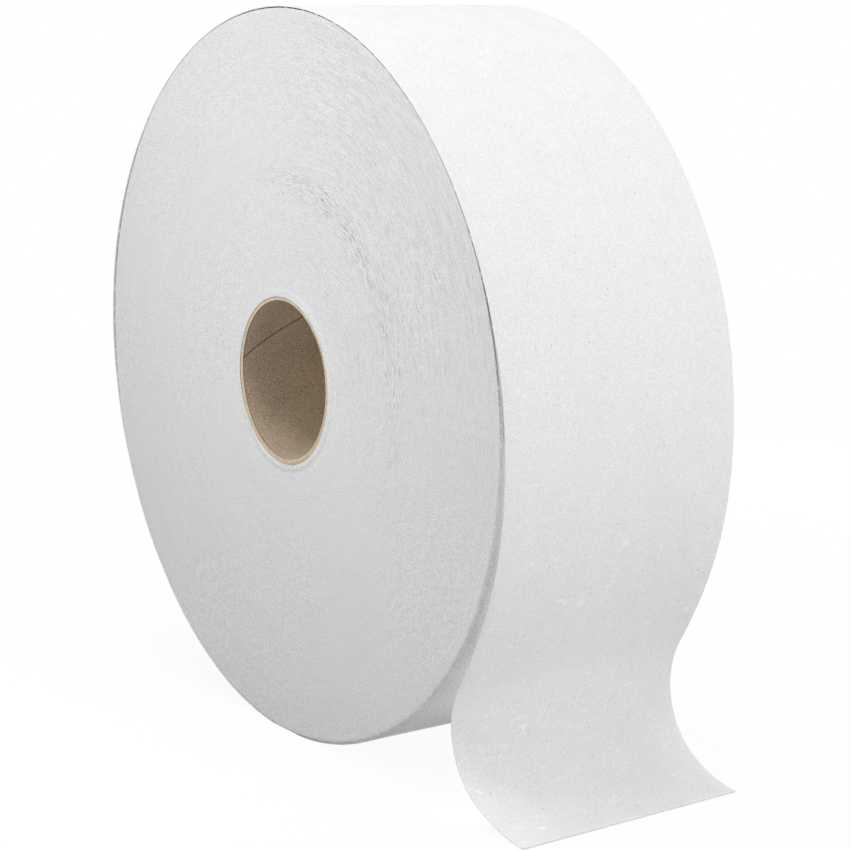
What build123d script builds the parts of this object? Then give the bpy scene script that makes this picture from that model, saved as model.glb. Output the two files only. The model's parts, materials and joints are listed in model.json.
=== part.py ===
from build123d import *
from math import atan2, cos, degrees, radians, sin, sqrt
import os

# A jumbo roll of bath tissue that stands on its tread, with the free end of its sheet on the floor.
# The roll's axis lies along Y, +Z is up, the free end runs out towards +X,
# and the origin is the centre of the core's bore. Sizes are in millimetres, angles in degrees.

# The roll
roll_radius = 125.0          # to the outside of the last whole turn
roll_width = 90.0            # the sheet's width, so the roll's length along its axis

# The paperboard core, wound from a strip whose edges meet in one seam down the bore
core_bore_radius = 27.1
core_wall = 1.9
seam_lead = 239.0            # length of core in which the seam would go once round
seam_start = 171.5           # angle of the seam at the -Y end, from +X towards +Z
seam_width = 0.6
seam_depth = 0.25

# The sheet, and how loosely its last turn lies
sheet = 0.35                 # two plies of tissue, not pressed
tail_slack = 0.95            # air between the tail and the turn under it, where the tail leaves

# The flat spot that a soft roll stands on
foot_flattening = 0.75       # how far the lowest turns are pressed in
foot_blend = 20.0            # radius that leads from the flat spot back to the tread

# The tail, from where it leaves the tread to its cut end
tail_leaves = 30.0           # angle above the axis's level, on the +X side
hang_slackness = 11.0        # how much wider than the tread the hanging stretch curves
curl_radius = 25.2           # the turn from hanging down to running out
runout_radius = 45.4         # the gentler bend that brings the sheet level
runout_angle = 28.0          # how far that bend turns
tail_lie = 2.0               # level stretch on the floor, up to the cut

# The turns on both end faces, as one spiral groove that follows the sheet inwards from the tail
turn_pitch = 11.6            # many turns of the sheet lie between two turns of the groove
turn_groove_width = 1.0
turn_groove_depth = 0.45
rim_band = 4.0               # plain band between the groove's outer end and the rim

# The first turns, wound tight, which stand a little proud around the core and slope down to the face
first_turns_width = 2.0
first_turns_proud = 0.4

# How far a cutter runs past the face that it cuts
overrun = 1.0

# What follows from those sizes
core_radius = core_bore_radius + core_wall
tail_step = sheet + tail_slack
hang_radius = roll_radius + hang_slackness
leave_direction = Vector(cos(radians(tail_leaves)), sin(radians(tail_leaves)))

# The last whole turn is two half circles: the first has the full radius, and the second is
# smaller and shifted, so that it ends one step inside the place where the tail leaves.
under_radius = roll_radius - tail_step / 2
under_centre = -leave_direction * tail_step / 2
floor_height = under_centre.Y - under_radius + foot_flattening

# Centres of the tail's three bends, for its upper face. The curl touches the hanging stretch from
# outside, and the run-out bend ends level, one sheet above the floor.
hang_centre = -leave_direction * hang_slackness
landing_height = floor_height + sheet
curl_height = landing_height + runout_radius - (runout_radius - curl_radius) * cos(radians(runout_angle))
curl_drop = hang_centre.Y - curl_height
curl_centre = Vector(hang_centre.X + sqrt((hang_radius + curl_radius) ** 2 - curl_drop**2), curl_height)
runout_direction = Vector(sin(radians(runout_angle)), cos(radians(runout_angle)))
runout_centre = curl_centre + runout_direction * (runout_radius - curl_radius)
hang_end = -degrees(atan2(curl_drop, curl_centre.X - hang_centre.X))

# The spiral groove is a chain of half circles on two centres, one each side of the roll's axis.
end_face = Plane.XZ.offset(roll_width / 2)
turn_outer_radius = roll_radius - rim_band
turns_shown = int((turn_outer_radius - core_radius - first_turns_width - turn_pitch / 2) / turn_pitch)


with BuildPart() as turn_groove:
    with BuildLine(end_face) as spiral:
        for half_turn in range(2 * turns_shown):
            side = 1 if half_turn % 2 == 0 else -1
            centre = leave_direction * side * turn_pitch / 4
            radius = turn_outer_radius - turn_pitch / 4 - half_turn * turn_pitch / 2
            CenterArc((centre.X, centre.Y), radius, tail_leaves + 90 - 90 * side, 180)
    # A V that opens outwards, drawn across the spiral's outer end and a little above the face.
    with BuildSketch(Plane(origin=spiral.line @ 0, x_dir=end_face.z_dir, z_dir=spiral.line % 0)):
        with BuildLine():
            Polyline(
                (turn_groove_depth, -turn_groove_width),
                (turn_groove_depth, turn_groove_width),
                (-turn_groove_depth, 0),
                close=True,
            )
        make_face()
    sweep()


with BuildPart() as tissue_roll:
    # One outline holds the last whole turn and the tail, because they are one sheet.
    with BuildSketch(Plane.XZ) as outline:
        with BuildLine():
            CenterArc((0, 0), roll_radius, tail_leaves, 180)
            turn = CenterArc(under_centre, under_radius, tail_leaves + 180, 180)
            upper = []
            lower = []
            for depth, edges in ((0, upper), (sheet, lower)):
                edges.append(CenterArc(hang_centre, hang_radius - depth, hang_end, tail_leaves - hang_end))
                edges.append(
                    CenterArc(curl_centre, curl_radius + depth, 180 + hang_end, 90 - runout_angle - hang_end)
                )
                edges.append(CenterArc(runout_centre, runout_radius + depth, 270 - runout_angle, runout_angle))
                edges.append(Line(edges[-1] @ 1, edges[-1] @ 1 + Vector(tail_lie, 0)))
            Line(upper[-1] @ 1, lower[-1] @ 1)
            Line(turn @ 1, lower[0] @ 1)
        make_face()
        with Locations((0, floor_height)):
            Rectangle(roll_radius, 2 * roll_radius, align=(Align.CENTER, Align.MAX), mode=Mode.SUBTRACT)
        foot = outline.vertices().group_by(Axis.Y)[0].sort_by(Axis.X)[:2]
        fillet(foot, radius=foot_blend)
    extrude(amount=roll_width / 2, both=True)

    # The hole for the core
    with BuildSketch(Plane.XZ):
        Circle(core_radius)
    extrude(amount=roll_width / 2 + overrun, both=True, mode=Mode.SUBTRACT)

    # The first turns, from one end's slope to the other's
    with BuildSketch(Plane.XY):
        with BuildLine():
            Polyline(
                (core_radius, 0),
                (core_radius + first_turns_width, 0),
                (core_radius + first_turns_width, roll_width / 2),
                (core_radius, roll_width / 2 + first_turns_proud),
                close=True,
            )
        make_face()
        mirror(about=Plane.XZ)
    revolve(axis=Axis.Y)

    add(turn_groove.part, mode=Mode.SUBTRACT)
    add(turn_groove.part.mirror(Plane.XZ), mode=Mode.SUBTRACT)


# The seam starts a little outside the -Y end of the core. Its groove is made along Z, and this
# plane then lays it in the bore.
seam_start_angle = seam_start + 360 * overrun / seam_lead
seam_start_direction = (cos(radians(seam_start_angle)), 0, sin(radians(seam_start_angle)))
seam_plane = Plane((0, -roll_width / 2 - overrun, 0), x_dir=seam_start_direction, z_dir=(0, 1, 0))


with BuildPart() as seam_groove:
    with BuildLine() as seam:
        Helix(pitch=seam_lead, height=roll_width + 2 * overrun, radius=core_bore_radius)
    with BuildSketch(Plane(origin=seam.line @ 0, x_dir=(1, 0, 0), z_dir=seam.line % 0)):
        with BuildLine():
            Polyline(
                (-seam_depth, -seam_width),
                (-seam_depth, seam_width),
                (seam_depth, 0),
                close=True,
            )
        make_face()
    sweep(is_frenet=True)


with BuildPart() as core_tube:
    with BuildSketch(Plane.XZ):
        Circle(core_radius)
        Circle(core_bore_radius, mode=Mode.SUBTRACT)
    extrude(amount=roll_width / 2, both=True)
    add(seam_plane.from_local_coords(seam_groove.part), mode=Mode.SUBTRACT)


tissue_roll.part.label = "tissue_roll"
core_tube.part.label = "core_tube"

os.makedirs("parts", exist_ok=True)
for piece in (tissue_roll, core_tube):
    export_step(piece.part, f"parts/{piece.part.label}.step")
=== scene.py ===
"""The looks of a jumbo toilet paper roll: wound tissue with a loose tail, on a core of plain board."""
import json
import math

import bpy
import numpy as np
from mathutils import Matrix, Vector


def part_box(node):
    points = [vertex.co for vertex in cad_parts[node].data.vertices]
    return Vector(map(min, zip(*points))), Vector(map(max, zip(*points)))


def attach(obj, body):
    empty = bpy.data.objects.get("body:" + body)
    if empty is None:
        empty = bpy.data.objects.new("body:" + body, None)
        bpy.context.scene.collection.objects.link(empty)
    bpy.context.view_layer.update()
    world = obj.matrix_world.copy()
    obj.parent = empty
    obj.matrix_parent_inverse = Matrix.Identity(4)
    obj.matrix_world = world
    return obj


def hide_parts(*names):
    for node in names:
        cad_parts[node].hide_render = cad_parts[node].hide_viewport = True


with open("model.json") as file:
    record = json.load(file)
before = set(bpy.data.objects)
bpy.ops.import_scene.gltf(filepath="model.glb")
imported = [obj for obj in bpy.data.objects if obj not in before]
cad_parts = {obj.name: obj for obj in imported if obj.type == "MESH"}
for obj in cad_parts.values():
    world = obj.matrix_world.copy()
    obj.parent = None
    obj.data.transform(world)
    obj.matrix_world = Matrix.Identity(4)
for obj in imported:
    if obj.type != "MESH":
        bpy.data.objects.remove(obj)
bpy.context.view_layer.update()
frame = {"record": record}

MM = 0.001
full_turn = 2.0 * math.pi

# Sizes of the roll, from the frame
roll_low, roll_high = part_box("tissue_roll")
core_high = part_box("core_tube")[1]
core_mount = next(m for m in frame["record"]["mounts"] if m["name"] == "core_bore")
bore_radius = core_mount["dims"]["r_mm"] * MM
half_width = core_mount["dims"]["length_mm"] * MM / 2
core_radius = core_high.x
roll_radius = roll_high.z
floor_height = roll_low.z

# Sizes of the tail, as the solid has them
sheet = 0.35 * MM
tail_slack = 0.95 * MM
tail_leaves = math.radians(30.0)
hang_slackness = 11.0 * MM
hang_end = math.radians(-34.3)
curl_radius = 25.2 * MM
runout_radius = 45.4 * MM
runout_angle = math.radians(28.0)
tail_lie = 0.45 * MM
gap_opens_over = math.radians(30.0)
crotch_blend = 2.4 * MM

# The roll isn't quite round: waves round it, with their cosine and sine shares
out_of_round = (
    (1, -0.37 * MM, -0.39 * MM),
    (2, 0.68 * MM, -0.98 * MM),
    (3, -0.15 * MM, -0.21 * MM),
    (4, 0.24 * MM, -0.45 * MM),
)
# they fade in from this radius out
out_of_round_from = 0.7 * roll_radius
# and the last turn is a little uneven, but not where the tail leaves
tread_unevenness = 0.06 * MM
even_at_crotch = math.radians(20)

# The turns' relief on the end faces: fine bands, whose sizes are in mm, and slow swells. It fades out at the
# core and at the rim, and the two faces' seeds are next to this one.
band_height = 0.035 * MM
band_layers, bands_in_layer = 5, 7
band_sizes = 3.6, 14.0
band_sum_to_unit = 8.0
swell_height = 0.07 * MM
relief_starts, relief_starts_over = 33 * MM, 6 * MM
relief_ends_over = 5 * MM
face_seed = 3

# The first turns stand a little proud round the core, most at the lower right
collar_height = 0.32 * MM
collar_radius = 30.2 * MM
collar_fall = 1.4 * MM
collar_least = 0.35
collar_proudest = math.radians(-50)
valley_depth = 0.08 * MM
valley_radius = collar_radius + 1.1 * collar_fall
valley_width = 0.6 * MM
# and their edge leans in over the core's rim, most at the top
lip_reach = 0.68 * MM
lip_middle = math.radians(100)
lip_over = 1.5 * MM
lip_seat = 0.05 * MM

# The gap between the last turn and the one below it, seen on the end faces: at each of some places
# round the roll the thickness of what lies outside it, its width and how much shade is painted into it
rim_gaps = (
    # degrees, outside in mm, width in mm, painted shade
    (30.0, 0.22, 0.34, 0.85),
    (45.0, 0.14, 0.28, 0.85),
    (65.0, 0.12, 0.34, 0.90),
    (80.0, 0.18, 0.36, 0.95),
    (92.0, 0.20, 0.42, 1.00),
    (101.0, 0.22, 0.38, 0.95),
    (115.0, 0.28, 0.30, 0.50),
    (135.0, 0.26, 0.42, 0.75),
    (148.0, 0.18, 1.00, 0.62),
    (165.0, 0.10, 1.60, 0.60),
    (182.0, 0.10, 1.45, 0.62),
    (195.0, 0.10, 0.75, 0.85),
    (215.0, 0.12, 0.42, 0.65),
    (240.0, 0.08, 0.45, 0.70),
    (285.0, 0.06, 0.45, 0.70),
    (310.0, 0.20, 0.45, 0.40),
    (352.0, 0.35, 0.50, 0.30),
    (370.0, 0.30, 0.42, 0.75),
    (390.0, 0.22, 0.34, 0.85),
)
# how deep it is, in mm, and how wide the rim is that has the gap in it
rim_gap_depth = 0.42
rim_width = 3.3 * MM
# A rounded edge, where the roll passes under its tail: distance in from the tread and height in mm, and
# painted shade
rounded_edge = (
    (1.70, 0.00, 0.03),
    (1.30, -0.03, 0.09),
    (1.00, -0.09, 0.14),
    (0.76, -0.17, 0.17),
    (0.54, -0.28, 0.17),
    (0.34, -0.42, 0.14),
    (0.18, -0.58, 0.08),
    (0.05, -0.74, 0.03),
)
# how far in from the faces the tread starts, over the gap and at the rounded edge, in mm
tread_inset = 0.10
rounded_inset = 0.84
# where the rim turns from the gap to the rounded edge, and where that opens into the crotch
rounding_from, rounding_over = math.radians(264), math.radians(20)
crotch_from, crotch_over = math.radians(346), math.radians(36)

# How far the tail's near and far edge stand out of its even line, and how much its end narrows
bow_places = np.array([35.0, 70.0, 105.0, 140.0, 175.0, 205.0]) * MM
near_bow = np.array([-1.0, -0.3, 0.1, -0.8, -1.0, 0.3]) * MM
far_bow = np.array([-0.6, -0.3, -0.1, -0.5, 0.9, 0.4]) * MM
narrows_from = 130.0 * MM
narrows_over = 90.0 * MM
narrows_by = 0.05

# The slack sheet's waves, how far from the tail's start they grow and from its end they fade, and its creases
waves_grow_over, waves_fade_over = 60 * MM, 45 * MM
tail_waves = (
    # height, size across the sheet and along it, phase
    (0.30 * MM, 17 * MM, 46 * MM, 0.6),
    (0.12 * MM, 9 * MM, -23 * MM, 2.1),
)
crease_seed = 21
crease_count = 26
crease_width = 1.4 * MM

# The cut at the tail's end isn't quite straight
cut_unevenness = 0.12 * MM
cut_uneven_over = 3 * MM
cut_wave, cut_swell = 1.9 * MM, 5.3 * MM

# The seam of the board strip in the core's bore
seam_lead = 239.0 * MM
seam_start = math.radians(171.5)
seam_depth = 0.25 * MM
seam_section = (
    # distance from the seam's middle in mm, share of its depth
    (-0.55, 0.0),
    (-0.30, 0.0),
    (-0.14, 0.9),
    (0.00, 1.0),
    (0.14, 0.9),
    (0.30, 0.0),
    (0.55, 0.0),
)

# The cut edges of the core's plies
rim_plies = (
    # distance out from the bore and height under the rim's face, in mm
    (0.00, 0.17),
    (0.05, 0.04),
    (0.14, 0.00),
    (0.74, 0.00),
    (0.80, 0.06),
    (0.92, 0.06),
    (0.98, 0.00),
    (1.30, 0.00),
    (1.36, 0.05),
    (1.42, 0.00),
    (1.72, 0.00),
    (1.85, 0.08),
    (1.90, 0.30),
)
core_rim_unevenness = 0.022 * MM
bore_unevenness = 0.05 * MM

# How finely the meshes are divided
turn_steps = 360
collar_rings = np.array([0.0, 0.12, 0.5, 1.0, 1.4, 1.7, 1.95, 2.2, 2.5, 2.85, 3.3, 3.9, 4.8]) * MM
face_ring_pitch = 1.13 * MM
tread_steps = 26
crotch_rows = np.array([0.0, 0.4, 0.8, 1.2, 1.7, 2.4, 3.4, 4.6]) * MM
tail_pitch = 1.5 * MM
core_steps = 220
core_rows = 72
core_outer_rows = 6

# The materials of the tissue's mesh, by their place in it
on_face, on_tread = 0, 1


def smooth(share):
    """Rises from 0 to 1 with a soft start and end."""
    share = np.clip(share, 0.0, 1.0)
    return share * share * (3.0 - 2.0 * share)


def stay_on_floor(z):
    """Bends what would go below the floor up on to it, with a soft start."""
    over = z - floor_height
    softness = 0.03 * MM
    return floor_height + 0.5 * (over + np.sqrt(over**2 + softness**2))


def soft_noise(seed, count, longest, shortest):
    """A smooth random height of about unit strength at any point: waves of many sizes and directions."""
    rng = np.random.default_rng(seed)
    sizes = np.exp(rng.uniform(math.log(shortest), math.log(longest), count))
    directions = rng.normal(size=(count, 3))
    directions /= np.linalg.norm(directions, axis=1)[:, None]
    waves = directions * (full_turn / sizes)[:, None]
    phases = rng.uniform(0.0, full_turn, count)

    def height(x, y, z):
        total = np.zeros(np.broadcast(x, y, z).shape)
        for (kx, ky, kz), phase in zip(waves, phases):
            total += np.sin(kx * x + ky * y + kz * z + phase)
        return total * math.sqrt(2.0 / count)

    return height


def make_piece(name, points, faces, material_of_face, materials, node):
    """One closed mesh that stands for a node of the frame."""
    mesh = bpy.data.meshes.new(name)
    mesh.from_pydata([tuple(p) for p in points], [], [tuple(f) for f in faces])
    for material in materials:
        mesh.materials.append(material)
    mesh.polygons.foreach_set("material_index", np.asarray(material_of_face, dtype=np.int32))
    mesh.polygons.foreach_set("use_smooth", np.ones(len(mesh.polygons), dtype=bool))
    mesh.validate()
    mesh.update()
    piece = bpy.data.objects.new(name, mesh)
    bpy.context.scene.collection.objects.link(piece)
    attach(piece, "root")
    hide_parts(node)
    return piece


# The winding

tread_noise = soft_noise(seed=12, count=26, longest=90 * MM, shortest=30 * MM)
face_noise = soft_noise(seed=13, count=16, longest=110 * MM, shortest=45 * MM)


def outer_radius(angle):
    """Radius of the last turn from the crotch round to where it passes under the tail."""
    below = tail_leaves + full_turn - angle
    inset = (sheet + tail_slack) / 2 * (1.0 + np.cos(below))
    inset = np.where(below < math.pi, inset, 0.0)
    inset = inset - tail_slack * (1.0 - smooth(below / gap_opens_over))
    return roll_radius - np.maximum(inset, 0.0)


def lobes(angle):
    """How far the tread stands out of its circle."""
    return sum(c * np.cos(k * angle) + s * np.sin(k * angle) for k, c, s in out_of_round)


def band_relief(radius, angle, seed):
    """Turns wound a little proud or low, in bands that come and go round the face."""
    rng = np.random.default_rng(seed)
    total = np.zeros(np.broadcast(radius, angle).shape)
    for _ in range(band_layers):
        sizes = np.exp(rng.uniform(*np.log(band_sizes), bands_in_layer)) * MM
        phases = rng.uniform(0.0, full_turn, bands_in_layer)
        lean, middle = rng.uniform(0.4, 1.0), rng.uniform(0.0, full_turn)
        band = sum(np.sin(full_turn * radius / size + phase) for size, phase in zip(sizes, phases))
        total += band * (1.0 - lean + lean * np.cos(angle - middle))
    return total / band_sum_to_unit


def face_height(radius, angle, seed):
    """How far an end face stands out from its flat place."""
    x, z = radius * np.cos(angle), radius * np.sin(angle)
    fade = smooth((radius - relief_starts) / relief_starts_over)
    fade = fade * smooth((roll_radius - radius) / relief_ends_over)
    bands = band_height * band_relief(radius, angle, seed)
    swells = swell_height * face_noise(x, seed * MM, z)
    collar = collar_height * (1.0 - smooth((radius - collar_radius) / collar_fall))
    valley = valley_depth * np.exp(-(((radius - valley_radius) / valley_width) ** 2))
    towards = 0.5 + 0.5 * np.cos(angle - collar_proudest)
    collar = collar * (collar_least + (1.0 - collar_least) * towards)
    return fade * (bands + swells) + collar - valley * towards


def face_radii():
    """The rings of an end face: close together at the core's collar, then even out to the rim."""
    collar = collar_rings + core_radius
    last = roll_radius - rim_width
    count = round((last - collar[-1]) / face_ring_pitch)
    return np.concatenate([collar, np.linspace(collar[-1], last, count + 1)[1:]])


# Places in the section of the winding, counted in its points: the floors of the near and the far face's gap,
# with the last turn between them, and the last point of the far face
gap_steps = 4
own_steps = len(rounded_edge) - 1 - gap_steps
near_edge = len(face_radii()) + gap_steps
far_edge = near_edge + 2 * own_steps + tread_steps + 2
last_on_face = far_edge + near_edge - 1


def rim_section(angle):
    """The steps of a face's rim, and how far in the tread starts, in mm.

    Each step has its distance in from the tread, its height over the face and its painted shade."""
    places = [math.radians(row[0]) for row in rim_gaps]
    out, width, dark = (np.interp(angle, places, [row[k] for row in rim_gaps]) for k in (1, 2, 3))
    depth = np.full_like(angle, rim_gap_depth)
    none = np.zeros_like(angle)
    gap = (
        # the edge of the turn below
        (out + width + 0.45, none, none),
        (out + width + 0.12, none - 0.02, none),
        (out + width, none - 0.08, 0.5 * dark),
        # the gap's floor
        (out + width - 0.05, -depth, dark),
        (out + 0.05, -depth, dark),
        # the edge of the last turn
        (out, none - 0.03, none),
        (0.5 * out, none + 0.05, none),
        (none + 0.03, none - 0.02, none),
    )
    crotch = (
        # the edge of the turn below
        (width + 0.45, none, none),
        (width + 0.12, none - 0.02, none),
        (width, none - 0.08, 0.5 * dark),
        # the floor, which runs on into the tread
        (width - 0.05, -depth, dark),
        (none + 0.05, -depth, dark),
        (none, -depth - 0.01, dark),
        (none, -depth - 0.02, 0.8 * dark),
        (none, -depth - 0.03, 0.5 * dark),
    )
    loose = 1.0 - smooth((angle - rounding_from) / rounding_over)
    opened = smooth((angle - crotch_from) / crotch_over)
    steps = []
    for own, rounded, at_crotch in zip(gap, rounded_edge, crotch):
        under = [(1.0 - opened) * r + opened * c for r, c in zip(rounded, at_crotch)]
        steps.append([loose * g + (1.0 - loose) * u for g, u in zip(own, under)])
    under_inset = (1.0 - opened) * rounded_inset + opened * (depth + 0.05)
    return steps, loose * tread_inset + (1.0 - loose) * under_inset


def winding_section(angle):
    """Distances from the axis and along it, and painted shade, round the section of the winding at each
    angle.
    """
    radii = face_radii()
    tread = outer_radius(angle)
    steps, inset = rim_section(angle)
    lip = lip_reach * (0.5 + 0.5 * np.cos(angle - lip_middle)) ** 2
    none = np.zeros_like(angle)
    rows = []

    def add_face(order, side):
        for radius in order:
            inward = lip * (1.0 - smooth((radius - core_radius) / lip_over))
            height = face_height(radius, angle, face_seed + side)
            rows.append((radius - inward, side * (half_width + height), none))

    def add_rim(order, side):
        for inward, height, dark in order:
            rows.append((tread - inward * MM, side * (half_width + height * MM), dark + none))

    add_face(radii, -1)
    add_rim(steps, -1)
    for share in np.linspace(-1.0, 1.0, tread_steps + 1):
        rows.append((tread, share * (half_width - inset * MM), none))
    add_rim(steps[::-1], 1)
    add_face(radii[::-1], 1)
    inner = half_width + lip_seat
    for y in (inner, 0.4 * inner, -0.4 * inner, -inner):
        rows.append((core_radius + none, y + none, none))
    return [np.array([row[k] for row in rows]).T for k in range(3)]


def winding_surface():
    """The winding's points, their distances from the axis and their painted shade, in a row for each angle.

    The last row is at the same angle as the first, where the last turn has come round under the tail."""
    angles = tail_leaves + np.linspace(0.0, full_turn, turn_steps + 1)
    column = angles[:, None]
    radius, across, dark = winding_section(angles)
    x, z = radius * np.cos(column), radius * np.sin(column)
    outer = smooth((radius - out_of_round_from) / (roll_radius - out_of_round_from))
    ease = smooth((column - tail_leaves) / even_at_crotch)
    ease = ease * smooth((angles[-1] - column) / even_at_crotch)
    radius = radius + outer * (lobes(column) + ease * tread_unevenness * tread_noise(x, across, z))
    x, z = radius * np.cos(column), stay_on_floor(radius * np.sin(column))
    return np.stack([x, across, z], axis=-1), radius, dark


def winding_mesh(places, dark):
    """Points with their painted shade, the points of each row, and faces with their materials."""
    section = places.shape[1]
    index = np.arange(turn_steps * section).reshape(turn_steps, section)
    # The last row is the first one again, but for the points of the tread under the tail
    own = np.arange(near_edge + 1, far_edge)
    last = index[0].copy()
    last[own] = turn_steps * section + np.arange(len(own))
    index = np.vstack([index, last])
    points = np.concatenate([places[:-1].reshape(-1, 3), places[-1, own]])
    rim_shade = np.concatenate([dark[:-1].reshape(-1), dark[-1, own]])
    faces = []
    slots = []
    for i in range(turn_steps):
        for p in range(section):
            q = (p + 1) % section
            faces.append((index[i, p], index[i, q], index[i + 1, q], index[i + 1, p]))
            slots.append(on_face if p < near_edge or far_edge <= p <= last_on_face else on_tread)
    return points, rim_shade, index, faces, slots


# The tail

def tail_line(along):
    """Places on the tail's upper face in the plane of the end faces, directions out of it, and its length."""
    leave = np.array([math.cos(tail_leaves), math.sin(tail_leaves)])
    hang_radius = roll_radius + hang_slackness
    hang_centre = -leave * hang_slackness
    rise = runout_radius - (runout_radius - curl_radius) * math.cos(runout_angle)
    drop = hang_centre[1] - (floor_height + sheet + rise)
    reach = math.sqrt((hang_radius + curl_radius) ** 2 - drop**2)
    curl_centre = hang_centre + np.array([reach, -drop])
    runout = np.array([math.sin(runout_angle), math.cos(runout_angle)])
    runout_centre = curl_centre + runout * (runout_radius - curl_radius)
    straight_down = math.radians(270)
    arcs = (
        (hang_centre, hang_radius, tail_leaves, hang_end, 1.0),
        (curl_centre, curl_radius, math.pi + hang_end, straight_down - runout_angle, -1.0),
        (runout_centre, runout_radius, straight_down - runout_angle, straight_down, -1.0),
    )
    places = np.zeros((len(along), 2))
    normals = np.zeros((len(along), 2))
    start = 0.0
    for centre, radius, first, last, side in arcs:
        length = radius * abs(last - first)
        here = along >= start - 1e-9
        angle = first + (along[here] - start) / length * (last - first)
        radial = np.stack([np.cos(angle), np.sin(angle)], axis=1)
        places[here] = centre + radius * radial
        normals[here] = side * radial
        start += length
    here = along >= start
    lying_x = runout_centre[0] + along[here] - start
    places[here] = np.stack([lying_x, np.full_like(lying_x, floor_height + sheet)], axis=1)
    normals[here] = (0.0, 1.0)
    return places, normals, start + tail_lie


def through(places, values, at):
    """A smooth curve through the values."""
    slopes = np.gradient(values, places)
    k = np.clip(np.searchsorted(places, at) - 1, 0, len(places) - 2)
    step = places[k + 1] - places[k]
    t = (at - places[k]) / step
    rise = smooth(t) * (values[k + 1] - values[k])
    return values[k] + rise + step * t * (1.0 - t) * ((1.0 - t) * slopes[k] - t * slopes[k + 1])


def tail_bow(along, length, y):
    """How far the tail stands out of its even line at each place along and across it."""
    places = np.concatenate([[0.0], bow_places, [length]])
    start = lobes(tail_leaves)
    near, far = (through(places, np.concatenate([[start], bow, [0.0]]), along) for bow in (near_bow, far_bow))
    share = 0.5 + 0.5 * y / half_width
    return near + (far - near) * share


def tail_wave(along, length, y):
    """How far the slack sheet waves in and out of its even line."""
    strength = smooth(along / waves_grow_over) * smooth((length - along) / waves_fade_over)
    waves = (h * np.sin(y / across + along / down + phase) for h, across, down, phase in tail_waves)
    return strength * sum(waves)


def crease_height(rows, y):
    """Short soft creases across the lower part of the tail."""
    rng = np.random.default_rng(crease_seed)
    total = np.zeros((len(rows), len(y)))
    for _ in range(crease_count):
        middle = rng.uniform(100, 165) * MM
        place = -half_width + rng.uniform(0.0, 1.6) ** 2 * half_width * 0.7
        reach = rng.uniform(5, 14) * MM
        lean = rng.uniform(-0.20, 0.20)
        depth = rng.uniform(0.06, 0.16) * MM * rng.choice([-1.0, 1.0])
        distance = rows[:, None] - middle - lean * (y[None] - place)
        total += depth * np.exp(-((distance / crease_width) ** 2) - ((y[None] - place) / reach) ** 2)
    return total


def tail_rows():
    """How far along the tail its rows of points are, and its length."""
    length = tail_line(np.zeros(1))[2]
    count = round((length - crotch_rows[-1]) / tail_pitch)
    return np.concatenate([crotch_rows, np.linspace(crotch_rows[-1], length, count + 1)[1:]]), length


def tail_places(start_top, start_under):
    """The points of each row of the tail, over and under the sheet.

    The starts are the distances from the axis and along it of the points that the tail grows from."""
    rows, length = tail_rows()
    line, normal, _ = tail_line(rows)
    half_sheet = sheet / 2
    edge_angles = np.linspace(0.0, math.pi / 2, own_steps + 2)
    edge_y = half_width - half_sheet + half_sheet * np.cos(edge_angles)
    middle_y = np.linspace(-1.0, 1.0, tread_steps + 1)[1:-1] * (half_width - half_sheet)
    final_y = np.concatenate([-edge_y, middle_y, edge_y[::-1]])
    bulge = np.concatenate([np.sin(edge_angles), np.ones(tread_steps - 1), np.sin(edge_angles[::-1])])
    creases = crease_height(rows, final_y)
    crotch_radius = roll_radius + lobes(tail_leaves)
    for m in range(1, len(rows)):
        share = smooth(rows[m] / crotch_blend)
        stands = tail_wave(rows[m], length, final_y) + creases[m] + tail_bow(rows[m], length, final_y)
        narrow = 1.0 - narrows_by * np.clip((rows[m] - narrows_from) / narrows_over, 0.0, 1.0)
        uneven = cut_unevenness * smooth((rows[m] - length + cut_uneven_over) / cut_uneven_over)
        both = []
        for start, side in ((start_top, 1.0), (start_under, -1.0)):
            height = -half_sheet + side * half_sheet * bulge
            height = (1.0 - share) * (start[:, 0] - crotch_radius) + share * height + stands
            y = (1.0 - share) * start[:, 1] + share * final_y * narrow
            slip = uneven * np.sin(y / cut_wave) * np.sin(y / cut_swell + 1.0)
            x = line[m, 0] + normal[m, 0] * height + slip
            z = stay_on_floor(line[m, 1] + normal[m, 1] * height)
            both.append(np.stack([x, y, z], axis=-1))
        yield both


def make_tissue(turn_edges, tread):
    """The wound sheet and its tail, in one closed mesh."""
    places, radius, dark = winding_surface()
    points, rim_shade, index, faces, slots = winding_mesh(places, dark)
    points = [points]
    base = len(points[0])
    # The tail: a flat tube that grows from the step between the two ends of the last turn
    edge = slice(near_edge, far_edge + 1)
    top, under = index[0, edge], index[turn_steps, edge]
    starts = [np.stack([radius[row, edge], places[row, edge, 1]], axis=-1) for row in (0, turn_steps)]
    count = len(top)
    for over_sheet, under_sheet in tail_places(*starts):
        # The two sides share their first and last points
        points.append(over_sheet)
        points.append(under_sheet[1:-1])
        new_top = base + np.arange(count)
        new_under = np.concatenate([[base], base + count + np.arange(count - 2), [base + count - 1]])
        base += 2 * count - 2
        for q in range(count - 1):
            faces.append((top[q], new_top[q], new_top[q + 1], top[q + 1]))
            faces.append((under[q], under[q + 1], new_under[q + 1], new_under[q]))
            slots += [on_tread, on_tread]
        top, under = new_top, new_under
    for q in range(count - 1):
        corners = (under[q], under[q + 1], top[q + 1], top[q])
        faces.append(tuple(dict.fromkeys(corners)))
        slots.append(on_tread)
    points = np.concatenate(points)
    piece = make_piece("tissue", points, faces, slots, (turn_edges, tread), "tissue_roll")
    # The painted shade of the rims' gap and rounded edge, for the face's material
    gap = piece.data.attributes.new("gap", "FLOAT", "POINT")
    gap.data.foreach_set("value", np.concatenate([rim_shade, np.zeros(len(points) - len(rim_shade))]))


# The core

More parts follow.
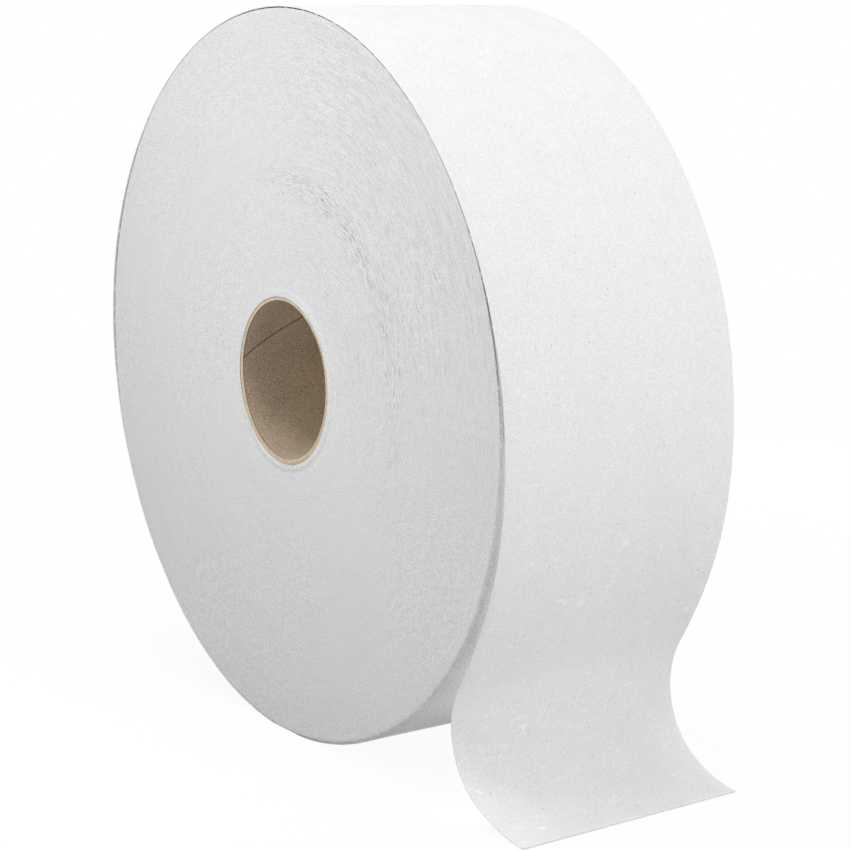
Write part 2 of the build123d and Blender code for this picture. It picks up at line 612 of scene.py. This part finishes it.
def core_profile():
    """The section of the tube's wall: distance from the axis and along it, the seam's and the rim's share."""
    profile = []
    inner = half_width - rim_plies[0][1] * MM
    for y in np.linspace(inner, -inner, core_rows + 1)[1:-1]:
        profile.append((bore_radius, y, 1.0, 0.0))
    for out, under in rim_plies:
        profile.append((bore_radius + out * MM, -half_width + under * MM, max(0.0, 1.0 - out), 1.0))
    outer = half_width - rim_plies[-1][1] * MM
    for y in np.linspace(-outer, outer, core_outer_rows + 1)[1:-1]:
        profile.append((core_radius, y, 0.0, 0.0))
    for out, under in rim_plies[::-1]:
        profile.append((bore_radius + out * MM, half_width - under * MM, max(0.0, 1.0 - out), 1.0))
    return profile


def make_core(board, seam_board):
    """The tube, with the seam as a groove that winds along its bore."""
    groove, groove_share = np.array(seam_section).T
    groove = groove * MM
    around = np.linspace(groove[-1], full_turn * bore_radius + groove[0], core_steps)[1:-1]
    offsets = np.concatenate([groove, around]) / bore_radius
    depths = np.concatenate([groove_share * seam_depth, np.zeros(len(around))])
    rim_noise = soft_noise(seed=31, count=30, longest=14 * MM, shortest=1.6 * MM)
    bore_noise = soft_noise(seed=32, count=20, longest=60 * MM, shortest=18 * MM)
    profile = core_profile()
    at_bore = bore_radius + 0.1 * MM
    columns = len(offsets)
    points = np.zeros((columns, len(profile), 3))
    for p, (radius, y, seam_share, rim_share) in enumerate(profile):
        angle = seam_start - full_turn * (y + half_width) / seam_lead + offsets
        r = radius + depths * seam_share
        x, z = r * np.cos(angle), r * np.sin(angle)
        if radius < at_bore:
            r = r + bore_unevenness * bore_noise(x, y, z)
        sunk = rim_share * core_rim_unevenness * np.abs(rim_noise(x, 0.0, z))
        points[:, p] = np.stack([r * np.cos(angle), y - np.sign(y) * sunk, r * np.sin(angle)], axis=-1)
    index = np.arange(columns * len(profile)).reshape(columns, -1)
    plain, in_groove = 0, 1
    groove_columns = range(1, len(groove) - 2)
    seam_ends_at = 0.4
    faces = []
    slots = []
    for i in range(columns):
        k = (i + 1) % columns
        for p in range(len(profile)):
            q = (p + 1) % len(profile)
            faces.append((index[i, p], index[i, q], index[k, q], index[k, p]))
            cut_by_seam = profile[p][2] > seam_ends_at and profile[q][2] > seam_ends_at
            slots.append(in_groove if cut_by_seam and i in groove_columns else plain)
    make_piece("core", points.reshape(-1, 3), faces, slots, (board, seam_board), "core_tube")


# The materials

def rgb(red, green, blue, level=1.0):
    return (red * level, green * level, blue * level, 1.0)


def grey(level):
    return (level, level, level, 1.0)


class Graph:
    """Short ways to lay out the nodes of one material."""

    def __init__(self, name):
        self.material = bpy.data.materials.new(name)
        self.material.use_nodes = True
        self.nodes = self.material.node_tree.nodes
        self.links = self.material.node_tree.links
        self.shader = self.nodes["Principled BSDF"]
        self.place = self.nodes.new("ShaderNodeTexCoord").outputs["Object"]

    def put(self, socket, value):
        """Gives a socket a number or colour, or what comes from another socket."""
        if isinstance(value, bpy.types.NodeSocket):
            self.links.new(value, socket)
        else:
            socket.default_value = value

    def split(self, vector):
        node = self.nodes.new("ShaderNodeSeparateXYZ")
        self.put(node.inputs[0], vector)
        return node.outputs[0], node.outputs[1], node.outputs[2]

    def join(self, x, y, z):
        node = self.nodes.new("ShaderNodeCombineXYZ")
        for socket, value in zip(node.inputs, (x, y, z)):
            self.put(socket, value)
        return node.outputs[0]

    def math(self, operation, first, second=0.0):
        node = self.nodes.new("ShaderNodeMath")
        node.operation = operation
        for socket, value in zip(node.inputs, (first, second)):
            self.put(socket, value)
        return node.outputs[0]

    def times(self, first, *others):
        for other in others:
            first = self.math("MULTIPLY", first, other)
        return first

    def plus(self, first, *others):
        for other in others:
            first = self.math("ADD", first, other)
        return first

    def off(self, value, middle):
        """How far the value is from the middle."""
        return self.math("ABSOLUTE", self.math("SUBTRACT", value, middle))

    def step(self, value, low, high, out_low=0.0, out_high=1.0):
        """A soft step from one level to another, as the value goes from low to high."""
        node = self.nodes.new("ShaderNodeMapRange")
        node.interpolation_type = "SMOOTHSTEP"
        given = {"Value": value, "From Min": low, "From Max": high, "To Min": out_low, "To Max": out_high}
        for name, number in given.items():
            self.put(node.inputs[name], number)
        return node.outputs["Result"]

    def noise(self, vector, size, detail=2.0, roughness=0.5):
        node = self.nodes.new("ShaderNodeTexNoise")
        self.put(node.inputs["Vector"], vector)
        node.inputs["Scale"].default_value = 1.0 / size
        node.inputs["Detail"].default_value = detail
        node.inputs["Roughness"].default_value = roughness
        return node.outputs["Fac"]

    def flecks(self, vector, size, share, radius):
        """Round flecks, one in some of the cells of a loose grid."""
        node = self.nodes.new("ShaderNodeTexVoronoi")
        self.put(node.inputs["Vector"], vector)
        node.inputs["Scale"].default_value = 1.0 / size
        pick = self.step(self.split(node.outputs["Color"])[0], 1.0 - share, 1.02 - share)
        spot = self.step(node.outputs["Distance"], radius, radius * 0.4)
        return self.times(pick, spot)

    def mix(self, share, first, second, blend="MIX"):
        node = self.nodes.new("ShaderNodeMix")
        node.data_type = "RGBA"
        node.blend_type = blend
        self.put(node.inputs["Factor"], share)
        colours = [s for s in node.inputs if s.type == "RGBA"]
        for socket, value in zip(colours, (first, second)):
            self.put(socket, value)
        return next(s for s in node.outputs if s.type == "RGBA")

    def paint(self, colour, where, strength, other):
        """Lays another colour over the first, as strongly as where says."""
        return self.mix(self.times(where, strength), colour, other)

    def from_axis(self, x, z):
        """Distance from the roll's axis."""
        return self.math("SQRT", self.plus(self.times(x, x), self.times(z, z)))

    def finish(self, colour, roughness, height, depth, specular, sheen=0.0):
        """The material, with the height as a relief of the given depth."""
        bump = self.nodes.new("ShaderNodeBump")
        bump.inputs["Distance"].default_value = depth
        self.put(bump.inputs["Height"], height)
        self.put(self.shader.inputs["Base Color"], colour)
        self.put(self.shader.inputs["Roughness"], roughness)
        self.put(self.shader.inputs["Normal"], bump.outputs["Normal"])
        self.shader.inputs["Specular IOR Level"].default_value = specular
        self.shader.inputs["Sheen Weight"].default_value = sheen
        return self.material


def tread_material():
    """Smooth creped tissue: fine even grain, faint cloudiness and a few dark specks."""
    shade, clean, crease_highlight = grey(0.71), grey(0.97), grey(1.0)
    speck, tail_shade = rgb(0.14, 0.135, 0.13), grey(0.56)
    g = Graph("tissue_tread")
    x, y, z = g.split(g.place)
    grain = g.noise(g.place, 0.32 * MM, roughness=0.7)
    cloud = g.noise(g.place, 11.0 * MM)
    crepe = g.noise(g.join(x, g.times(y, 0.35), z), 1.3 * MM, roughness=0.6)
    specks = g.flecks(g.place, 2.4 * MM, share=0.30, radius=0.09)
    tone = g.plus(g.times(grain, 0.94), g.times(cloud, 0.06))
    colour = g.mix(g.step(tone, 0.28, 0.72), shade, clean)
    colour = g.paint(colour, specks, 0.92, speck)
    # Short pale hair lines cross the hanging part: painted highlight along the sheet's creases
    wander = g.noise(g.join(x, g.times(y, 0.30), z), 5.5 * MM, detail=1.0)
    lines = g.step(g.off(wander, 0.5), 0.016, 0.004)
    broken = g.step(g.noise(g.place, 7.5 * MM, detail=1.0), 0.57, 0.65)
    hung = g.step(z, -0.12 * roll_radius, -0.30 * roll_radius)
    colour = g.paint(colour, g.times(lines, broken, hung), 0.55, crease_highlight)
    # Behind the tail, where it shades the roll, a mottle of painted shade
    on_roll = g.step(g.from_axis(x, z), roll_radius + 2.6 * MM, roll_radius + 1.2 * MM)
    low = g.step(z, -0.15 * roll_radius, -0.35 * roll_radius)
    behind = g.times(on_roll, low, g.step(x, 0.0, 0.15 * roll_radius))
    tail_shade_mottle = g.step(g.noise(g.place, 0.62 * MM, detail=1.0), 0.50, 0.66, 0.0, 0.6)
    colour = g.paint(colour, tail_shade_mottle, behind, tail_shade)
    height = g.plus(g.times(grain, 0.85), g.times(crepe, 0.15))
    height = g.math("SUBTRACT", height, g.times(specks, 0.8))
    roughness = g.step(grain, 0.2, 0.8, 0.88, 0.98)
    return g.finish(colour, roughness, height, depth=0.12 * MM, specular=0.2, sheen=0.05)


def face_material():
    """The edges of the turns: fine broken streaks round the axis, thicker in one band, partly painted shade
    and highlight.
    """
    cool, fresh = rgb(0.980, 0.981, 1.0), rgb(0.986, 1.0, 0.993)
    raking_light_side = 0.75
    band_radius = 0.545 * roll_radius
    g = Graph("tissue_face")
    x, y, z = g.split(g.place)
    radius = g.from_axis(x, z)
    cosine = g.math("DIVIDE", x, radius)
    sine = g.math("DIVIDE", z, radius)
    # The turns waver a little
    wound = g.plus(radius, g.times(g.noise(g.place, 6.0 * MM, detail=1.0), 1.4 * MM))

    def streaks(per_radian, across, detail, shift):
        """Noise drawn out along the turns; the shift sets the two faces apart."""
        turns = g.plus(g.math("DIVIDE", wound, across), g.times(y, shift))
        vector = g.join(g.times(cosine, per_radian), g.times(sine, per_radian), turns)
        return g.noise(vector, 1.0, detail, roughness=0.6)

    # streaks to a radian, width, detail, shift
    fine = streaks(14.0, 0.20 * MM, 1.0, 100.0)
    short = streaks(19.0, 0.24 * MM, 0.0, 170.0)
    soft = streaks(5.0, 0.8 * MM, 2.0, 50.0)
    bands = streaks(2.0, 3.0 * MM, 2.0, 230.0)
    grain = g.noise(g.place, 0.46 * MM, roughness=0.7)
    # Where the streaks are strong: towards the side where light rakes across the turns, and in a band half
    # way out
    towards = g.plus(g.times(cosine, math.cos(raking_light_side)), g.times(sine, math.sin(raking_light_side)))
    side = g.step(towards, 0.42, 1.0, 0.14, 1.0)
    band = g.times(g.step(g.off(radius, band_radius), 8.0 * MM, 1.0 * MM), g.step(towards, 0.3, 0.95))
    calm = g.step(radius, 33 * MM, 44 * MM, 0.25, 1.0)
    strength = g.times(side, calm)
    # The dark streaks are partly painted shade, and the light ones partly painted highlight, of the turns'
    # relief
    dark = g.times(g.step(fine, 0.56, 0.70), strength)
    light = g.times(g.step(fine, 0.44, 0.30), strength)
    dashes = g.times(g.step(short, 0.56, 0.70), g.plus(g.times(strength, 0.45), band))
    wisps = g.times(g.step(soft, 0.55, 0.75), strength)
    colour = g.mix(g.step(grain, 0.26, 0.74), grey(0.67), grey(1.0))
    colour = g.mix(g.step(bands, 0.3, 0.7, 0.20, 0.0), colour, grey(0.74))
    colour = g.paint(colour, wisps, 0.09, grey(0.60))
    colour = g.paint(colour, dark, 0.48, grey(0.50))
    colour = g.paint(colour, dashes, 0.52, grey(0.38))
    colour = g.paint(colour, light, 0.34, grey(1.0))
    tint = g.mix(g.step(g.plus(cosine, g.times(sine, 0.1)), -0.4, 0.9), cool, fresh)
    colour = g.mix(1.0, colour, tint, "MULTIPLY")
    # Shade painted into the gap under the last turn and on the rounded edge under the tail, broken where the
    # turn lies close
    gap = g.nodes.new("ShaderNodeAttribute")
    gap.attribute_name = "gap"
    open_share = g.step(g.noise(g.place, 2.8 * MM, detail=1.0), 0.34, 0.46, 0.20, 1.0)
    colour = g.paint(colour, gap.outputs["Fac"], open_share, grey(0.06))
    height = g.plus(g.times(fine, 0.6), g.times(grain, 0.4))
    roughness = g.step(fine, 0.3, 0.7, 0.98, 0.88)
    return g.finish(colour, roughness, height, depth=0.10 * MM, specular=0.2)


def board_material(name, level):
    """Grey-brown board with fine fibres and dark flecks, lighter where its edge is cut."""
    low, high = rgb(0.318, 0.252, 0.181, level), rgb(0.705, 0.583, 0.442, level)
    dark_fleck, pale_fleck = rgb(0.12, 0.09, 0.06), rgb(0.72, 0.62, 0.49)
    mouth_shade = rgb(0.12, 0.085, 0.06)
    rim_low, rim_high = rgb(0.57, 0.47, 0.33), rgb(0.77, 0.66, 0.49)
    outer_edge = rgb(0.40, 0.31, 0.21)
    g = Graph(name)
    x, y, z = g.split(g.place)
    depth = g.math("ABSOLUTE", y)
    grain = g.noise(g.place, 0.38 * MM, roughness=0.7)
    fibres = g.noise(g.place, 0.8 * MM, detail=3.0, roughness=0.65)
    cloud = g.noise(g.place, 9.0 * MM)
    dark_flecks = g.flecks(g.place, 1.7 * MM, share=0.42, radius=0.13)
    pale_flecks = g.flecks(g.join(g.plus(y, 1.0), y, z), 2.3 * MM, share=0.30, radius=0.12)
    tone = g.plus(g.times(grain, 0.68), g.times(fibres, 0.22), g.times(cloud, 0.10))
    inside = g.mix(g.step(tone, 0.36, 0.64), low, high)
    inside = g.paint(inside, dark_flecks, 0.85, dark_fleck)
    inside = g.paint(inside, pale_flecks, 0.3, pale_fleck)
    mouth = g.step(depth, half_width - 0.75 * MM, half_width - 0.35 * MM)
    inside = g.paint(inside, mouth, 0.55, mouth_shade)
    rim = g.mix(g.step(fibres, 0.3, 0.7), rim_low, rim_high)
    # A darker brown is painted along the rim's outer edge, more on one side
    outer_ply = g.step(g.from_axis(x, z), core_radius - 0.75 * MM, core_radius - 0.40 * MM)
    browner = g.step(x, -0.5 * core_radius, 0.7 * core_radius, 0.15, 0.75)
    rim = g.paint(rim, outer_ply, browner, outer_edge)
    at_rim = g.step(depth, half_width - 0.17 * MM, half_width - 0.08 * MM)
    colour = g.mix(at_rim, inside, rim)
    roughness = g.step(fibres, 0.3, 0.7, 0.80, 0.95)
    return g.finish(colour, roughness, tone, depth=0.14 * MM, specular=0.3)


# The room

white = grey(1.0)
# The world as a light: the camera sees it plain white
world_strength = 0.27
# The floor: how pale it is to the object and to the camera, how much of the roll's shadow the camera sees,
# and between which distances the shadow fades out, so that the floor's far edge doesn't show
floor_size = 4.0
floor_level = 0.36
floor_shown = 0.95
shadow_share = 0.08
shadow_fades = 0.20, 0.55
# The lamps: the studio's, then small ones for the light that comes back off the floor, round the far side and
# in at the far end of the bore
lamps = (
    # name, place, aim, width, height, watts
    ("top", (0.0, 0.0, 1.6), (0.0, 0.0, 0.0), 1.6, 1.6, 20.4),
    ("near", (-0.12, -0.28, 0.36), (-0.02, -0.045, 0.06), 0.25, 0.25, 0.26),
    ("front", (0.0, -0.35, 0.12), (0.0, 0.0, 0.06), 0.25, 0.25, 0.52),
    ("right", (1.5, 0.2, 0.12), (0.0, 0.0, 0.05), 1.0, 0.5, 9.0),
    ("floor_glow", (0.65, 0.0, -0.122), (0.65, 0.0, 1.0), 0.7, 0.9, 1.38),
    ("left", (-1.4, 0.3, 0.6), (0.0, 0.0, 0.0), 1.2, 1.2, 0.3),
    ("back_left", (-0.25, 0.6, -0.05), (0.0, 0.045, -0.02), 0.30, 0.15, 1.10),
    ("back_right", (0.22, 0.6, -0.05), (0.0, 0.045, -0.02), 0.30, 0.15, 0.33),
    ("far_mouth", (0.0, 0.0445, 0.0), (0.0, -1.0, 0.0), 0.045, 0.045, 0.0038),
    ("under_tail", (0.030, 0.0, -0.1232), (0.030, 0.0, 1.0), 0.060, 0.088, 0.0076),
)
# The lamps under the tail: the stretch of the sheet that they follow, how far under it the first and the last
# are, how much narrower than the sheet they are, and watts per square metre
glow_stretch = 66.0 * MM, 196.0 * MM
glow_below = 1.15 * MM, 2.2 * MM
glow_narrower = 1.5 * MM
glow = (1.1, 0.86, 0.76, 0.80, 0.62, 0.95, 2.5, 5.0)


def add_shader(tree, kind, **values):
    """The output of a new shader node."""
    node = tree.nodes.new(kind)
    for name, value in values.items():
        node.inputs[name].default_value = value
    return node.outputs[0]


def mix_shaders(tree, share, first, second):
    node = tree.nodes.new("ShaderNodeMixShader")
    for socket, source in zip(node.inputs, (share, first, second)):
        tree.links.new(source, socket)
    return node.outputs[0]


def seen_directly(tree):
    """1 for the rays that show the background itself: straight to the camera, or through gloss or glass."""
    path = tree.nodes.new("ShaderNodeLightPath")
    total = path.outputs["Is Camera Ray"]
    for name in ("Is Glossy Ray", "Is Transmission Ray"):
        node = tree.nodes.new("ShaderNodeMath")
        node.operation = "MAXIMUM"
        tree.links.new(total, node.inputs[0])
        tree.links.new(path.outputs[name], node.inputs[1])
        total = node.outputs[0]
    return total


def make_world():
    """White to the camera, and weaker as a light."""
    world = bpy.data.worlds.new("studio")
    bpy.context.scene.world = world
    world.use_nodes = True
    tree = world.node_tree
    light = tree.nodes["Background"]
    light.inputs["Color"].default_value = white
    light.inputs["Strength"].default_value = world_strength
    backdrop = add_shader(tree, "ShaderNodeBackground", Color=white, Strength=1.0)
    mixed = mix_shaders(tree, seen_directly(tree), light.outputs[0], backdrop)
    tree.links.new(mixed, tree.nodes["World Output"].inputs["Surface"])


def make_floor():
    """A pale floor that shows the camera a plain white with a faint shadow of the roll."""
    corners = [(-1, -1), (1, -1), (1, 1), (-1, 1)]
    mesh = bpy.data.meshes.new("floor")
    mesh.from_pydata([(x * floor_size, y * floor_size, floor_height) for x, y in corners], [], [(0, 1, 2, 3)])
    floor = bpy.data.objects.new("floor", mesh)
    bpy.context.scene.collection.objects.link(floor)
    material = bpy.data.materials.new("floor")
    material.use_nodes = True
    tree = material.node_tree
    tree.nodes.remove(tree.nodes["Principled BSDF"])
    bounce = add_shader(tree, "ShaderNodeBsdfDiffuse", Color=grey(floor_level))
    shadowed = add_shader(tree, "ShaderNodeBsdfDiffuse", Color=grey(floor_shown))
    plain = add_shader(tree, "ShaderNodeEmission", Strength=1.0)
    place = tree.nodes.new("ShaderNodeTexCoord")
    distance = tree.nodes.new("ShaderNodeVectorMath")
    distance.operation = "LENGTH"
    tree.links.new(place.outputs["Object"], distance.inputs[0])
    fade = tree.nodes.new("ShaderNodeMapRange")
    tree.links.new(distance.outputs["Value"], fade.inputs["Value"])
    fade.inputs["From Min"].default_value = shadow_fades[0]
    fade.inputs["From Max"].default_value = shadow_fades[1]
    fade.inputs["To Min"].default_value = 1.0 - shadow_share
    fade.inputs["To Max"].default_value = 1.0
    shown = mix_shaders(tree, fade.outputs["Result"], shadowed, plain)
    mixed = mix_shaders(tree, seen_directly(tree), bounce, shown)
    tree.links.new(mixed, tree.nodes["Material Output"].inputs["Surface"])
    mesh.materials.append(material)


def make_lamp(name, place, aim, width, height, power):
    """A soft lamp that the camera doesn't see."""
    lamp = bpy.data.lights.new(name, "AREA")
    lamp.shape = "RECTANGLE"
    lamp.size = width
    lamp.size_y = height
    lamp.energy = power
    holder = bpy.data.objects.new(name, lamp)
    holder.location = place
    holder.rotation_euler = (Vector(aim) - Vector(place)).to_track_quat("-Z", "Y").to_euler()
    holder.visible_camera = False
    bpy.context.scene.collection.objects.link(holder)


def light_through_tail():
    """Flat lamps close under the tail: the light that comes through its sheet on to the roll behind it."""
    ends = np.linspace(*glow_stretch, len(glow) + 1)
    places, normals, _ = tail_line(0.5 * (ends[1:] + ends[:-1]))
    width, height = 2.0 * half_width - glow_narrower, ends[1] - ends[0]
    depths = np.linspace(*glow_below, len(glow))
    for k, (place, normal, depth, brightness) in enumerate(zip(places, normals, depths, glow)):
        x, z = place - depth * normal
        aim = (x - normal[0], 0.0, z - normal[1])
        make_lamp(f"through_{k}", (x, 0.0, z), aim, width, height, brightness * width * height)


def make_camera():
    """The photograph's view, from the fit of the roll's two rims and the tail's edges."""
    place = Vector((0.62713, -0.41907, 0.12902))
    turn, tip, roll = -0.96708, 0.19570, -0.0006
    forward = Vector((math.sin(turn) * math.cos(tip), math.cos(turn) * math.cos(tip), -math.sin(tip)))
    level = Vector((math.cos(turn), -math.sin(turn), 0.0))
    down = forward.cross(level)
    right = level * math.cos(roll) + down * math.sin(roll)
    up = level * math.sin(roll) - down * math.cos(roll)
    camera = bpy.data.cameras.new("camera")
    camera.sensor_width = 36.0
    camera.lens = 92.666
    holder = bpy.data.objects.new("camera", camera)
    holder.matrix_world = Matrix.Translation(place) @ Matrix((right, up, -forward)).transposed().to_4x4()
    bpy.context.scene.collection.objects.link(holder)
    bpy.context.scene.camera = holder


# The scene

bpy.context.scene.view_settings.view_transform = "Standard"
make_camera()
make_world()
make_floor()
for lamp in lamps:
    make_lamp(*lamp)
light_through_tail()
make_tissue(face_material(), tread_material())
make_core(board_material("core_board", 1.0), board_material("core_seam", 0.45))
